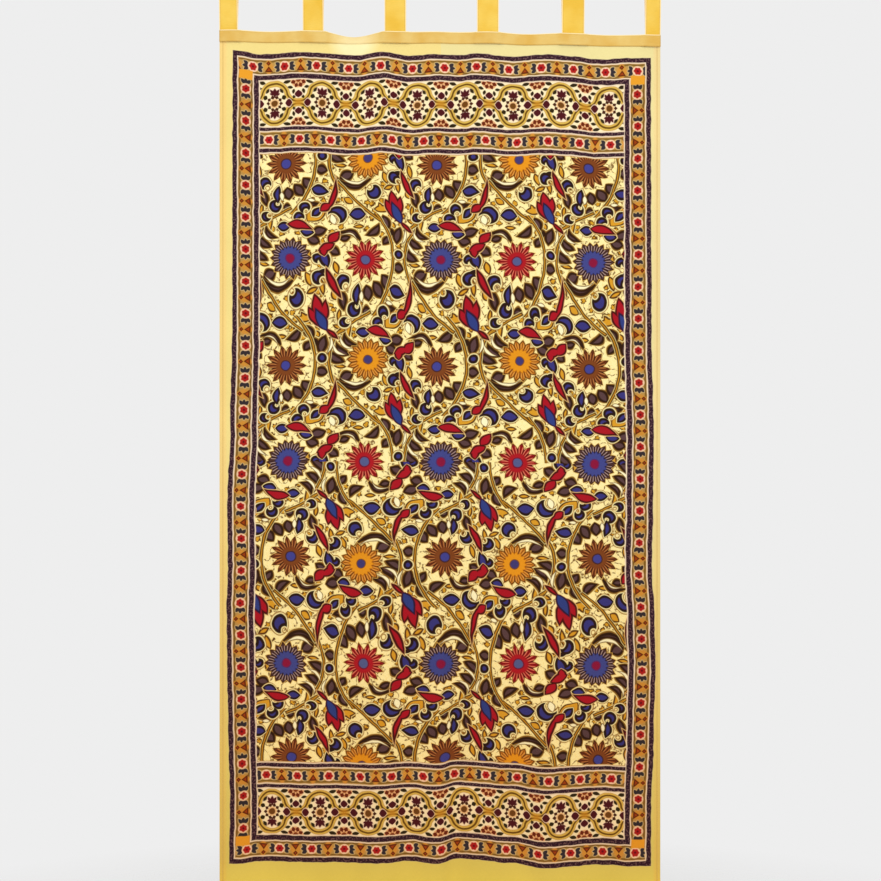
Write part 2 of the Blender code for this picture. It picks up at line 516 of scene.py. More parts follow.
SLATE_SHAPES = rows_of(
    Leaf,
    (35.4, -23.8, 102, 9.4, 4.7, 0.8),
    (60.7, -28.1, 49, 8.8, 3.0, 4.5, 0.3),
    (53.9, -18.0, 45, 9.2, 3.6, 3.2, 0.3),
    (48.4, -8.6, 40, 10.0, 4.1, 2.9, 0.2),
    (58.2, 12.3, -25, 7.2, 5.2),
    (65.5, 13.8, 3, 19.0, 2.5, 9.4),
    (34.3, 6.3, 10, 5.6, 4.9),
    (2.2, 29.8, 80, 6.2, 5.0),
    (12.6, 26.8, 55, 7.4, 5.0),
    (21.4, 20.8, 50, 7.2, 5.0),
    (1.0, 43.6, 0, 4.2, 3.8),
    (25.0, 38.8, 12, 6.2, 2.6, 2.0),
    (27.4, 73.0, 64, 9.6, 1.5),
    (32.0, 69.8, -15, 7.4, 5.2),
    (26.8, 79.4, 20, 6.2, 4.9),
    (59.4, 74.4, 23, 12.6, 2.7, -6.7),
    (55.6, 74.6, -15, 5.2, 3.7),
    (82.9, 66.2, -41, 9.0, 4.0, 3.4),
    (22.6, -37.4, 62, 7.4, 4.3),
    (44.9, 87.4, 35, 6.8, 4.3),
    (-21.9, 34.2, 80, 7.8, 3.7),
    (21.8, -19.8, -55, 6.0, 3.8),
) + rows_of(
    Curl,
    (27.2, -26.9, 3.6, -2.0, -2.0, 2.2),
)
INDIGO_SHAPES = rows_of(
    Leaf,
    (69.0, 51.9, 0, 8.6, 6.2, -1.0),
    (-7.4, 30.6, 94, 8.6, 4.0, 1.6),
    (33.0, 27.2, 12, 8.4, 5.2, 0.0, -0.35),
    (-2.3, 63.8, 0, 7.2, 5.2),
    (20.6, 70.6, 10, 6.6, 5.0),
    (-38.9, -3.2, 70, 10.4, 5.0),
    (-39.5, 10.6, 12, 5.4, 1.9, -1.6),
    (29.8, 48.8, -46, 6.4, 3.9),
) + rows_of(
    Curl,
    (34.9, -7.0, 4.4, 9.0, 9.0, 1.0),
    (85.7, 30.0, 7.1, -4.4, -5.2, 3.7),
    (49.4, 52.0, 9.0, -4.6, 5.2, 7.2),
    (-11.2, 42.2, 6.2, 2.9, -2.6, 2.4),
    (18.2, 44.2, 5.3, 1.5, 4.2, 3.0),
    (12.6, 53.8, 5.4, 3.0, 3.6, 2.8),
    (-45.0, -3.8, 4.6, 2.4, 4.0, 2.8),
    (-44.4, 14.6, 6.0, 4.6, 3.2, 3.7),
    (-21.8, 19.8, 6.1, 2.8, 4.2, 3.9),
    (-20.4, 53.0, 5.0, 3.7, -1.6, 3.3),
)
MADDER_SHAPES = rows_of(
    Leaf,
    (42.8, 32.0, 107, 17.0, 2.8, -3.2, 0.35),
    (37.8, 44.4, 140, 6.0, 4.5),
    (13.4, 64.6, 16, 12.8, 5.0, -2.4, -0.4),
    (46.2, 76.4, -50, 8.2, 5.2, 0.0, -0.2),
    (38.2, 83.4, -22, 8.2, 4.6),
    (35.8, 87.2, 85, 5.6, 4.1),
    (-30.4, 19.4, 62, 14.8, 3.3, 1.6),
    (-44.4, 40.4, 76, 13.4, 5.4),
    (-39.4, 43.2, 100, 11.0, 4.6),
    (-48.2, 46.4, 60, 10.8, 4.4),
    (-31.8, 64.0, 44, 8.2, 2.3),
)
LOTUS_HEART = rows_of(
    Leaf,
    (-41.6, 49.6, 64, 11.8, 4.5, 0.0, 0.2),
)
OCHRE_SHAPES = rows_of(
    Leaf,
    (59.9, 37.5, 30, 5.4, 3.6),
    (52.0, 2.0, 5, 6.4, 2.3),
    (29.2, 49.6, -46, 12.6, 8.4),
    (-56.8, 46.8, 0, 8.6, 3.9),
    (-28.0, 6.4, 75, 7.0, 3.0),
    (-40.6, 22.6, 80, 7.0, 2.6),
    (-53.5, 15.6, 70, 6.6, 3.0),
    (-50.0, 25.0, -20, 5.6, 2.4),
    (-29.8, 29.8, 60, 4.6, 3.0),
    (-25.5, 45.6, 100, 6.0, 2.2),
    (-14.5, 62.0, 100, 7.6, 2.5, 2.5),
    (-26.4, 57.6, 35, 5.4, 2.1),
    (-53.5, -9.0, 60, 4.6, 2.6),
    (-5.0, -33.0, 0, 5.6, 2.4),
    (30.0, -35.0, 60, 4.2, 2.7),
    (93.0, 45.0, 60, 5.0, 2.6),
)
CREAM_SHAPES = rows_of(
    Leaf,
    (-3.9, 32.2, 88, 4.4, 1.9),
    (45.2, 56.6, 75, 5.6, 3.0),
    (40.8, -23.4, 100, 8.6, 1.3, -2.2),
    (57.6, -25.0, 49, 8.8, 1.5, 4.4),
    (50.9, -15.2, 45, 9.0, 1.5, 3.2),
    (66.5, 13.8, 3, 14.0, 1.3, 5.9),
    (59.0, 74.8, 23, 9.0, 0.8, -5.4),
    (24.6, 36.6, 10, 3.6, 1.5),
)

# Stems of the vine: two long arcs, and the straight tails that join them
Arc = namedtuple("Arc", "x y radius side limit")
STEM_ARCS = (
    Arc(-39.8, -2.0, 68.5, 1, -5.0),
    Arc(88.6, -3.9, 47.4, -1, 52.0),
)
STEM_TAILS = rows_of(
    Leaf,
    (70.8, 38.6, 44, 30.0, 1.3, 1.6),
    (-11.0, 54.2, 149, 19.0, 1.3, 1.5),
    (-27.0, 64.2, 150, 8.0, 1.2),
)
STEM_HALF = 1.3

# How the chart repeats: rows lie in pairs, the second pushed half a repeat sideways, close under the first and with
# more room below it. The heights at which they close up and part again are spans, and each row's disc flowers lie a
# little off their place in the chart.
REPEAT_WIDTH = 150.8
REPEAT_HEIGHT = 201.3
ROW_DROP = 97.8
FIRST_ROW_TIGHT = 3.0
SECOND_ROW_ROOM = REPEAT_HEIGHT - 2 * ROW_DROP + FIRST_ROW_TIGHT
SECOND_ROW_SHIFT = 71.4
FIRST_FLOWER = Vector((-4.0, 111.0))
FIELD_TURN_HEIGHT = 407.1
FIRST_ROW_PULL = (-2.55, 2.5)
SECOND_ROW_PULL = (4.1, -4.1)
ROWS_CLOSE = (52.0, 78.0)
ROWS_PART = (112.0, 150.0)
CHART_PLACES = tuple(Vector(place) for place in ((0.0, 0.0), (37.7, 33.5), (75.4, 0.0), (0.0, 67.0), (-37.7, 33.5)))


def folded(across, down, place):
    """The print's squares laid over one repeat, with this place of the chart in the middle."""
    left = place.x - REPEAT_WIDTH / 2
    start = place.y - REPEAT_HEIGHT / 4
    height = (down - start) % REPEAT_HEIGHT + start
    closer = height.ramp(*ROWS_CLOSE).times_plus(FIRST_ROW_TIGHT, height)
    height = height.ramp(*ROWS_PART).times_plus(-SECOND_ROW_ROOM, closer)
    second = height > place.y + ROW_DROP / 2
    y = second.times_plus(-ROW_DROP, height)
    shifted = second.times_plus(SECOND_ROW_SHIFT, across)
    x = (shifted - left) % REPEAT_WIDTH + left
    from_flower = (x * (math.tau / REPEAT_WIDTH)).cosine().times_plus(-0.5, 0.5)
    across_pull, down_pull = (second.choose(*pulls) for pulls in zip(FIRST_ROW_PULL, SECOND_ROW_PULL))
    return from_flower.times_plus(across_pull, x).joined(from_flower.times_plus(down_pull, y)), second


def same_place(shape):
    """The place of the chart that holds the shape best once it is moved by whole repeats, and the moved shape."""
    reach = shape.radius if isinstance(shape, Curl) else max(shape.long, shape.wide) + abs(shape.bend)
    best = (-math.inf,)
    for row, column, number in product(range(-2, 3), range(-2, 3), range(len(CHART_PLACES))):
        place = CHART_PLACES[number]
        x = shape.x + REPEAT_WIDTH * (column + row / 2)
        y = shape.y + ROW_DROP * row
        room = min(REPEAT_WIDTH / 2 - abs(x - place.x), ROW_DROP / 2 - abs(y - place.y)) - reach
        if room > best[0] + 0.01:
            best = (room, number, shape._replace(x=x, y=y))
    return best[1:]


def curl_edge(field, curl):
    """How far a point lies outside a round bud with a round eye bitten out of it."""
    outer = field.distance_to((curl.x, curl.y, 1.0)) - curl.radius
    eye = (curl.x + curl.eye_right, curl.y + curl.eye_down, 1.0)
    return outer.most(curl.eye - field.distance_to(eye))


def leaf_axes(field, leaf, unit):
    """A point's place along a leaf, in this many squares, and across it."""
    turn = math.radians(leaf.turn)
    cos, sin = math.cos(turn), math.sin(turn)
    along = field.dot((cos / unit, sin / unit, -(cos * leaf.x + sin * leaf.y) / unit))
    return along, field.dot((-sin, cos, sin * leaf.x - cos * leaf.y))


def leaf_edge(field, leaf):
    """How far a point lies outside one leaf, in squares, and less than 0 inside it."""
    along, across = leaf_axes(field, leaf, leaf.long)
    half = (along * along).times_plus(-leaf.wide, leaf.wide)
    if leaf.bend:
        across = half.times_plus(-leaf.bend / leaf.wide, across)
    if leaf.taper:
        half = half * along.node("ShaderNodeClamp", {}, {0: along, 1: -1.0, 2: 1.0}).times_plus(leaf.taper, 1.0)
    return abs(across) - half


def tail_edge(field, tail):
    """How far a point lies outside a stem's tail, which keeps its width from end to end."""
    along, across = leaf_axes(field, tail, 1.0)
    across = (along * along).times_plus(tail.bend / tail.long**2, across - tail.bend)
    return (abs(across) - tail.wide).most(abs(along) - tail.long)


def nearest(edges):
    """The least of several distances."""
    found = edges[0]
    for edge in edges[1:]:
        found = found.least(edge)
    return found


def shapes_edge(fields, shapes, leaf_measure=leaf_edge):
    """How far a point lies outside the nearest of these leaves and curls of the chart."""
    edges = []
    for shape in shapes:
        number, moved = same_place(shape)
        measure = curl_edge if isinstance(moved, Curl) else leaf_measure
        edges.append(measure(fields[number], moved))
    return nearest(edges)


def printed_over(below, *blocks):
    """Lays blocks of the print over what is below: a distance each, then its dyes, with how far each reaches in it."""
    for edge, *dyes in blocks:
        for reach, colour, *softness in dyes:
            below = edge.inside(reach, *softness).blend(below, colour)
    return below


def round_the_flower(field, x, y, petals):
    """The distance from a flower's middle, and the notch: 0 on a petal's middle and 1 between two."""
    away = field.distance_to((x, y, 1.0))
    turned = field.dot((0.0, 1.0, -y)).maths("ARCTAN2", field.dot((1.0, 0.0, -x)))
    return away, (turned * (petals / math.tau)).maths("PINGPONG", 0.5) * 2.0


BARK = dye(58, 28, 14)
DISC_MIDDLE = (79.5, -4.5)


def petalled_flower(below, field, second):
    """The flower of pointed petals: madder in second rows and umber in first ones."""
    away, notch = round_the_flower(field, 0.0, 0.0, 14)
    edge = away - notch.times_plus(-6.4, 20.0)
    petal = second.blend(dye(124, 58, 24), dye(164, 24, 26))
    outline = second.blend(BARK, dye(88, 28, 14))
    shown = printed_over(below, (edge, (1.4, dye(226, 180, 96)), (0.5, outline), (-1.2, petal)))
    groove = abs(notch - 0.52).inside(0.13, 0.15) * abs(away - 12.8).inside(3.4, 1.5)
    shown = (groove * 0.7).blend(shown, second.blend(dye(206, 140, 76), dye(244, 150, 112)))
    vein = notch.inside(0.12, 0.14) * abs(away - 13.6).inside(4.0, 1.5)
    shown = (vein * 0.9).blend(shown, second.blend(BARK, dye(96, 16, 18)))
    dark = (0.72 - notch).inside(0.0, 0.2) * (8.8 - away).inside(0.0) * edge.inside(-0.2)
    shown = (dark * 0.8).blend(shown, second.blend(BARK, dye(84, 18, 18)))
    heart = second.blend(dye(124, 66, 28), dye(172, 26, 34))
    ring = second.blend(dye(66, 36, 36), dye(110, 18, 44))
    eye = second.blend(dye(66, 66, 140), dye(84, 90, 134))
    return printed_over(shown, (away, (9.2, heart, 3.0), (5.5, ring), (4.3, eye)))


def disc_flower(below, field, second):
    """The flower of a round disc in a ring of short petals: indigo in second rows and marigold in first ones."""
    away, notch = round_the_flower(field, *DISC_MIDDLE, 18)
    edge = away - notch.times_plus(-4.0, 20.7)
    petal = second.blend(dye(204, 122, 32), dye(84, 54, 46))
    outline = second.blend(dye(96, 48, 14), BARK)
    shown = printed_over(below, (edge, (1.2, dye(206, 160, 76)), (0.3, outline), (-1.3, petal)))
    line = (0.74 - notch).inside(0.0, 0.25) * edge.inside(-0.4)
    shown = (line * 0.9).blend(shown, second.blend(dye(98, 50, 14), dye(46, 26, 30)))
    tick = abs(notch - 0.5).inside(0.10, 0.2) * abs(away - 14.4).inside(3.0, 1.2)
    shown = (tick * 0.7).blend(shown, second.blend(dye(238, 182, 92), dye(216, 186, 176)))
    vein = notch.inside(0.14, 0.14) * abs(away - 14.8).inside(3.2, 1.2)
    shown = (vein * 0.9).blend(shown, second.blend(dye(118, 62, 16), dye(40, 24, 26)))
    disc_edge = notch.times_plus(2.4, away)
    rim = second.blend(dye(176, 98, 18), dye(40, 34, 70))
    disc = second.blend(dye(228, 148, 28), dye(66, 70, 132))
    ring = second.blend(dye(112, 66, 36), dye(84, 42, 96))
    eye = second.blend(dye(66, 58, 112), dye(136, 22, 56))
    return printed_over(shown, (disc_edge, (13.3, rim, 1.2), (12.3, disc, 1.2)), (away, (5.0, ring), (4.0, eye)))


# Ruled borders, from the print's edge inwards: where each dark line starts and ends
OUTER_LINE = (0.0, 4.9)
INNER_LINE = (21.4, 26.3)
ROUNDEL_LINE = (73.9, 77.4)
FIELD_LINE = (94.9, 98.8)
SIDE_INSET = 27.8
FIELD_INSET = 100.6
CREAM_LINE = 1.1

# Narrow border: a rosette between leaf sprays, then a triangle over a small lozenge, at an even pitch
ROSETTE_PITCH = 32.0
ROSETTE_ACROSS = 13.4
END_ROSETTE = 3.6
LOW_END_ROSETTE = -0.7
SIDE_ROSETTE = 36.8
CORNER_BLOCK = (18.0, 27.0)
CORNER_BLOCK_HALF = 6.8
FIELD_ROSETTE = 13.6
LOW_FIELD_ROSETTE = 17.5
FIELD_ROSETTE_PITCH = 31.0
FIELD_ROSETTE_DOWN = 86.3
SPRAY_LEAVES = rows_of(
    Leaf,
    (6.9, -2.7, -38, 3.0, 1.7),
    (7.6, 0.0, 0, 3.0, 1.6),
    (6.9, 2.7, 38, 3.0, 1.7),
)

# Roundel border: two waving bands that cross between ovals, with leaves in and between them, mirrored four ways
ROUNDEL_PITCH = 47.65
ROUNDEL_START = 24.2
ROUNDEL_MIDDLE = 50.0
CREST_HEIGHT = 7.0
CREST_RADIUS = 12.8
DIP_HEIGHT = 13.0
DIP_RADIUS = 11.8
CREST_START = 9.0
MAROON_LEAVES = rows_of(
    Leaf,
    (0.0, 10.8, 90, 4.4, 1.7),
    (2.3, 11.2, 58, 3.3, 1.2),
    (2.4, 9.2, 15, 2.3, 1.0),
    (14.4, 0.0, 0, 3.6, 3.6),
    (23.83, 8.4, 90, 3.5, 3.2),
)
MOSS_LEAVES = rows_of(
    Leaf,
    (6.6, 12.6, -50, 2.9, 1.2),
    (9.3, 6.0, 25, 2.3, 2.0),
    (19.0, 11.1, 80, 2.3, 1.2),
    (19.7, 6.0, 60, 2.0, 1.1),
    (15.7, 15.2, -12, 2.5, 1.2),
    (12.6, 21.0, 12, 3.6, 1.6),
)


def from_repeat(along, pitch):
    """How far a place along a border lies from the nearest of its repeats, which start at 0."""
    return abs((along + pitch / 2) % pitch - pitch / 2)


def span_edge(distance, span):
    """How far a distance lies outside a span of it."""
    return abs(distance - sum(span) / 2) - (span[1] - span[0]) / 2


def narrow_border(along, across, pitch):
    """The rosette border's colours, at a place measured along it and across it from a rosette."""
    from_rosette = from_repeat(along, pitch)
    field = from_rosette.joined(across)
    from_triangle = abs(from_rosette - pitch / 2)
    shown = printed_over(dye(190, 148, 78), (abs(abs(across) - 5.9), (0.9, dye(128, 94, 36))))
    flame = from_triangle + abs(across) * 0.55
    shown = (flame.inside(5.4, 2.0) * 0.9).blend(shown, dye(214, 146, 54))
    triangle = (from_triangle - across.times_plus(0.70, 0.7)).most(across - 4.6)
    lozenge = from_triangle + abs(across + 4.2) - 2.1
    marks = triangle.least(lozenge)
    spray = nearest([leaf_edge(field, leaf) for leaf in SPRAY_LEAVES])
    away, notch = round_the_flower(field, 0.0, 0.0, 6)
    return printed_over(
        shown,
        (marks, (0.3, dye(96, 36, 10)), (-1.1, dye(158, 66, 18))),
        (spray, (0.9, dye(222, 192, 134)), (0.2, dye(54, 46, 50))),
        (away, (5.2, dye(248, 208, 170))),
        (away - notch.times_plus(-0.8, 4.1), (0.1, dye(174, 32, 28))),
        (away, (1.1, dye(104, 14, 24))),
    )


def roundel_border(across, down):
    """The colours of the chain of ovals, from a place along it and across it."""
    away = abs(down - ROUNDEL_MIDDLE)
    field = from_repeat(across - ROUNDEL_START, ROUNDEL_PITCH).joined(away)
    crest = abs(field.distance_to((0.0, CREST_HEIGHT, 1.0)) - CREST_RADIUS).most(CREST_START - away)
    dip = abs(field.distance_to((ROUNDEL_PITCH / 2, DIP_HEIGHT, 1.0)) - DIP_RADIUS).most(away - CREST_START)
    band = crest.least(dip)
    band_dyes = ((2.9, dye(196, 152, 74)), (2.2, dye(220, 182, 82)), (0.9, dye(106, 70, 12)))
    shown = printed_over(dye(250, 232, 186), (band, *band_dyes))
    crossing = field.distance_to((ROUNDEL_PITCH / 2, 0.0, 1.0)).inside(4.0, 4.0)
    shown = (crossing * band.inside(2.0) * 0.7).blend(shown, dye(206, 140, 36))
    moss = nearest([leaf_edge(field, leaf) for leaf in MOSS_LEAVES])
    maroon = nearest([leaf_edge(field, leaf) for leaf in MAROON_LEAVES])
    half_flower, notch = round_the_flower(field, ROUNDEL_PITCH / 2, 22.6, 8)
    half_petal = abs(half_flower - 5.6) + (1.0 - notch) * 2.6 - 2.5
    daisy, notch = round_the_flower(field, 0.0, 0.0, 10)
    daisy_petal = abs(daisy - 6.2) + notch * 2.0 - 1.9
    return printed_over(
        shown,
        (moss, (0.4, dye(48, 36, 12))),
        (maroon, (1.1, dye(250, 216, 186)), (0.4, dye(76, 22, 26))),
        (half_flower, (8.0, dye(230, 170, 116))),
        (half_petal, (0.3, dye(108, 38, 12))),
        (half_flower, (2.6, dye(130, 58, 18))),
        (daisy_petal, (0.3, dye(72, 32, 12))),
        (daisy, (4.6, dye(238, 190, 132)), (3.2, dye(110, 66, 22))),
    )


UNDYED = (1.0, 1.0, 1.0, 1.0)
printed_cotton, print_shader = new_cotton("printed_cotton", 0.86, 0.02)
print_uv = Strand(print_shader.inputs["Base Color"]).node("ShaderNodeUVMap", {"uv_map": "print"}, {})

# The blocks were pressed by hand, so every line wanders a little
HAND_WANDER = 1.6
hand = print_uv.cloudy(0.09)
hand_down = print_uv.plus_vector((310.0, 170.0, 0.0)).cloudy(0.09)
right = print_uv.dot((1.0, 0.0, 0.0)) + hand.times_plus(HAND_WANDER, -HAND_WANDER / 2)
down = print_uv.dot((0.0, 1.0, 0.0)) + hand_down.times_plus(HAND_WANDER, -HAND_WANDER / 2)

# The lower half was printed with the cloth turned round
lower = down > FIELD_TURN_HEIGHT
turned_down = lower.choose(down, 2 * FIELD_TURN_HEIGHT - down)
turned_right = right * lower.times_plus(-2.0, 1.0)
places = [folded(turned_right - FIRST_FLOWER.x, turned_down - FIRST_FLOWER.y, place) for place in CHART_PLACES]
fields = [field for field, second in places]

# Ground of the field: cream, with thin tendrils and small gold sprigs that leave the flowers clear
curly = print_uv.cloudy(0.085, 1.5)
rough = print_uv.cloudy(0.42, 1.0)
sprig = print_uv.scattered(0.098).times_plus(10.2, rough.times_plus(4.6, -5.0))
flower_clear = fields[0].distance_to((0.0, 0.0, 1.0)).least(fields[2].distance_to((*DISC_MIDDLE, 1.0)) + 2.0)
sprig = sprig.most(27.0 - flower_clear)
tendril = abs(curly - 0.5) * 12.0 + rough.times_plus(1.6, -0.8)
vine = rough.times_plus(2.4, -1.1).blend(dye(255, 237, 168), dye(253, 226, 144))
vine = (tendril.inside(0.25, 0.45) * 0.9).blend(vine, dye(118, 76, 22))

stems = []
for arc in STEM_ARCS:
    place = fields[0] if arc.side > 0 else fields[2]
    ring = abs(place.distance_to((arc.x, arc.y, 1.0)) - arc.radius) - STEM_HALF
    kept = place.dot((-arc.side, 0.0, arc.side * arc.limit))
    stems.append(ring.most(kept))
stem = nearest(stems + [shapes_edge(fields, STEM_TAILS, tail_edge)])
ochre, slate, indigo, madder, heart, cream = (
    shapes_edge(fields, shapes)
    for shapes in (OCHRE_SHAPES, SLATE_SHAPES, INDIGO_SHAPES, MADDER_SHAPES, LOTUS_HEART, CREAM_SHAPES)
)

vine = printed_over(
    vine,
    (sprig, (0.9, dye(255, 232, 150)), (0.4, dye(92, 52, 14)), (-1.0, dye(214, 156, 42))),
    (ochre, (1.0, dye(255, 232, 150)), (0.4, dye(88, 48, 14)), (-1.3, dye(216, 154, 40))),
    (slate, (2.4, dye(253, 232, 152)), (1.7, dye(140, 98, 34)), (0.4, dye(50, 27, 12)), (-2.2, dye(88, 62, 62))),
    (stem, (0.8, dye(255, 232, 150)), (0.4, dye(80, 42, 10)), (-0.8, dye(200, 142, 38))),
    (indigo, (2.2, dye(158, 112, 44)), (1.3, dye(253, 236, 168)), (0.4, dye(44, 24, 16)), (-2.3, dye(58, 54, 118))),
    (madder, (1.1, dye(232, 188, 120)), (0.4, dye(76, 18, 14)), (-1.6, dye(168, 22, 34))),
    (heart, (0.9, dye(110, 22, 44)), (0.4, dye(44, 26, 52)), (-1.0, dye(50, 62, 124))),
    (cream, (0.5, dye(110, 74, 30)), (-0.3, dye(255, 244, 194))),
)
vine = petalled_flower(vine, *places[0])
vine = disc_flower(vine, *places[2])

side = PRINT_HALF_WIDTH - abs(right)
end = down.least(PRINT_HEIGHT - down)
edge = side.least(end)

# Borders, laid over the field from the inside out
field_rosette = lower.choose(FIELD_ROSETTE, LOW_FIELD_ROSETTE)
second_border = narrow_border(turned_right - field_rosette, FIELD_ROSETTE_DOWN - end, FIELD_ROSETTE_PITCH)
colour = (end > FIELD_INSET).blend(second_border, vine)
colour = (end < ROUNDEL_LINE[1] - 1.0).blend(colour, roundel_border(turned_right, end))
in_end = end < INNER_LINE[0] - 1.0
end_rosette = lower.choose(END_ROSETTE, LOW_END_ROSETTE)
outer_along = in_end.choose(down - SIDE_ROSETTE, turned_right - end_rosette)
outer_border = narrow_border(outer_along, in_end.choose(side, end) - ROSETTE_ACROSS, ROSETTE_PITCH)
in_block = span_edge(end, CORNER_BLOCK).inside(0.0) * abs(side - ROSETTE_ACROSS).inside(CORNER_BLOCK_HALF)
outer_border = outer_border.tinted(in_end.blend((0.91, 0.87, 0.81, 1.0), UNDYED))
outer_border = in_block.blend(outer_border, dye(232, 158, 42))
colour = (edge < INNER_LINE[0]).blend(colour, outer_border)

ruled = [span_edge(edge, line) for line in (OUTER_LINE, INNER_LINE)]
ruled += [span_edge(end, line).most(SIDE_INSET - 1.0 - side) for line in (ROUNDEL_LINE, FIELD_LINE)]
line_edge = nearest(ruled)
fleck = print_uv.cloudy(0.55, 0.0).times_plus(5.0, -2.6).maths("MINIMUM", 1.0, clamped=True)
flecked = (fleck * 0.6).blend(dye(50, 25, 37), dye(126, 94, 92))
colour = printed_over(colour, (line_edge, (CREAM_LINE, dye(242, 218, 186)), (0.0, flecked)))

# The margin's yellow deepens down the print, partly as painted shade of the light from above, and lightens again
# below it. It is pale where the slack bay leans back to the light, a painted highlight. The hem's seam, with painted
# shade along its groove, and its darker double cloth lie at these distances from the panel's middle, in mm.
FOOT_SHADE_SPAN = (400.0, 840.0)
YELLOW_LIGHTENS = (804.0, 826.0)
SLACK_HIGHLIGHT = (-87.0, -13.0, 0.0)
HEM_SEAM = 544.5
HEM_DOUBLE = 536.0
# Towards the foot the margin and the whole print grow darker and deeper yellow: partly painted shade, partly deeper dye
foot_shade_share = down.ramp(*FOOT_SHADE_SPAN).maths("SMOOTH_MIN", 1.0, 0.2, clamped=True)
margin = foot_shade_share.blend(dye(241, 213, 136), dye(224, 202, 100))
margin = down.ramp(*YELLOW_LIGHTENS).blend(margin, dye(236, 214, 100))
# Painted highlight: the margin is paler where the slack bay leans back to the light
slack_highlight = print_uv.distance_to(SLACK_HIGHLIGHT).inside(20.0, 14.0) * 0.7
margin = slack_highlight.blend(margin, dye(252, 238, 190))
from_middle = abs(print_uv.object_place().dot((MILLIMETRES, 0.0, 0.0)))
double = (HEM_DOUBLE - from_middle).inside(0.0, 6.0)
margin = margin.tinted(double.blend((0.98, 1.03, 1.0, 1.0), (1.02, 0.96, 0.90, 1.0)))
paler = (right > 0.0) * (1.0 - foot_shade_share)
margin = margin.tinted(paler.blend(UNDYED, (0.95, 1.03, 1.28, 1.0)))
# Painted shade along the groove of the hem's stitched seam
seam_shade = abs(from_middle - HEM_SEAM).inside(1.8, 3.0) * 0.3
margin = seam_shade.blend(margin, dye(176, 132, 58))
colour = edge.inside(0.0).blend(colour, margin)

# Uneven dye; painted shade that darkens the whole print and deepens its yellow towards the foot; and the faded back,
# where the print only shows through
thread = print_uv.scaled((0.35, 4.0, 1.0)).cloudy(1.0) + print_uv.scaled((4.0, 0.35, 1.0)).cloudy(1.0)
tone = print_uv.cloudy(0.02) * 0.10 + thread * 0.10 + 0.85
# Painted shade: the whole print is darker and deeper yellow towards the foot
colour = colour.tinted(tone).tinted(foot_shade_share.blend(UNDYED, (0.92, 0.76, 0.61, 1.0)))
wrong_side = print_uv.node("ShaderNodeAttribute", {"attribute_name": "wrong_side"}, {}, "Fac")
(wrong_side * 0.72).blend(colour, dye(243, 222, 160)).feeds(print_shader, "Base Color")
weave = (print_uv.dot((17.0, 0.0, 0.0)).cosine() + print_uv.dot((0.0, 17.0, 0.0)).cosine()) * 0.15 + thread
weave.bumps(print_shader, 0.25, 0.0006)

half_width = HUNG_WIDTH / 2
side_stops = [half_width - step for step in HEM_STEPS]
cloth_columns = filled_in([-x for x in side_stops] + side_stops[::-1], COLUMN_PITCH)
panel_maps = {"print": print_map, "OFBake": bake_map}
hem_rows = [1.0 - step / panel_length(0.0) for step in HEM_STEPS]
panel_rows = filled_in([*UPPER_ROWS, *hem_rows[::-1]], ROW_PITCH)
printed_panel = sewn_sheet(
    "printed_panel_cloth", cloth_columns, panel_rows, panel_point, panel_maps, printed_cotton
)
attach(printed_panel, "root")
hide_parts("printed_panel")

# Heading band: a strip of the plain yellow cotton, its long edges turned in, stitched along the panel's upper edge so
# that it covers the tabs' ends. It steps forward over each tab.
HEADING_HEIGHT = 0.030
STEP_CLEARANCE = 0.003
STEP_RUN = 0.010
HEADING_STITCH = 0.0026
HEADING_PUCKER = Swell(0.00022, 0.009, 0.02, 5.5)
HEADING_COLUMN_PITCH = 0.0045
LAYER = 0.00155
BAND_EDGES = (0.0, 0.0004, 0.0010, 0.0019, 0.0032, 0.0048)

# A strip's turned edge: how round it is and what share of its thickness that keeps, how far it stands plump behind the
# edge, and how deep and how wide its stitches draw it in
STRIP_ROUND = 0.0010
STRIP_KEPT = 0.15
PLUMP = 0.00025
PLUMP_IN = 0.0015
PLUMP_REACH = 0.0009
GROOVE = 0.00018
GROOVE_REACH = 0.0006


def heading_offset(x):
    """How far the heading stands before the panel: one layer, and two more over a tab's ends."""
    near_tab = min(abs(x - tab.x) - tab.width / 2 for tab in TABS)
    step = 1.0 - (near_tab - STEP_CLEARANCE) / STEP_RUN
    return LAYER * (1.0 + 2.0 * min(max(step, 0.0), 1.0))


def turned_edge(edge, side, groove_at):
    """How far a strip's face stands from its middle, this far in from its edge."""
    plump = PLUMP * math.exp(-(((edge - PLUMP_IN) / PLUMP_REACH) ** 2)) if side > 0 else 0.0
    groove = GROOVE * math.exp(-(((edge - groove_at) / GROOVE_REACH) ** 2))
    return side * (COTTON / 2 + plump - groove) * rounded(edge, STRIP_ROUND, STRIP_KEPT)


def heading_point(x, height, side):
    face = turned_edge(min(height, HEADING_HEIGHT - height), side, HEADING_STITCH)
    return in_front(x, height, heading_offset(x) + face + raised(HEADING_PUCKER, x, height))


def heading_strip(x, height, side, rim):
    # Below the lower stitch row the way in stays at the stitch, so painted groove shade fills the lower edge and no
    # painted highlight lies there
    return min(height, max(HEADING_HEIGHT - height, HEADING_STITCH)) * MILLIMETRES, x * MILLIMETRES


